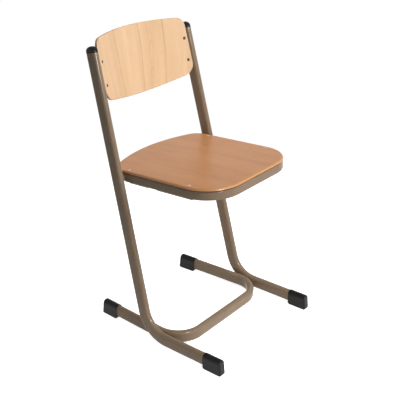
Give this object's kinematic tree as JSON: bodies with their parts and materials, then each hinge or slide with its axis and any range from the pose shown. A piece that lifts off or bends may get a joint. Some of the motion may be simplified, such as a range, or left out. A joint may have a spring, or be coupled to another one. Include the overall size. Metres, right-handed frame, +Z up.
{
  "type": "school chair",
  "caption": "Rigid school chair on a runner frame of bent flat-oval steel tube, with a riveted plywood seat, a hollow plywood backrest, black plastic feet and tube plugs.",
  "frame": {"origin": "on the floor under the middle of the chair's outer box", "axes": "+Z is up, -Y is the front that the sitter faces, -X is the sitter's right"},
  "size_m": [0.405, 0.4592, 0.7666],
  "materials": {
    "frame_paint": "glossy taupe stove enamel",
    "seat_wood": "orange-brown stained beech plywood under glossy varnish",
    "backrest_wood": "natural beech plywood under clear satin varnish",
    "black_plastic": "black moulded plastic, slightly shiny on its edges",
    "pad_plastic": "dark soft plastic",
    "rivet_steel": "zinc-plated rivet heads",
    "dark_rivet_steel": "dark bronzed rivet heads"
  },
  "bodies": {
    "root": {"backrest_board": "backrest_wood", "backrest_rivets": "dark_rivet_steel", "left_front_foot": "black_plastic", "left_front_pad": "pad_plastic", "left_rear_foot": "black_plastic", "left_rear_pad": "pad_plastic", "left_side_tube": "frame_paint", "left_top_plug": "black_plastic", "lower_left_lug": "frame_paint", "lower_right_lug": "frame_paint", "rear_support_tube": "frame_paint", "right_front_foot": "black_plastic", "right_front_pad": "pad_plastic", "right_rear_foot": "black_plastic", "right_rear_pad": "pad_plastic", "right_side_tube": "frame_paint", "right_top_plug": "black_plastic", "seat_board": "seat_wood", "seat_cross_tube": "frame_paint", "seat_frame_rail": "frame_paint", "seat_rivets": "rivet_steel", "upper_left_lug": "frame_paint", "upper_right_lug": "frame_paint"}
  },
  "joints": []
}
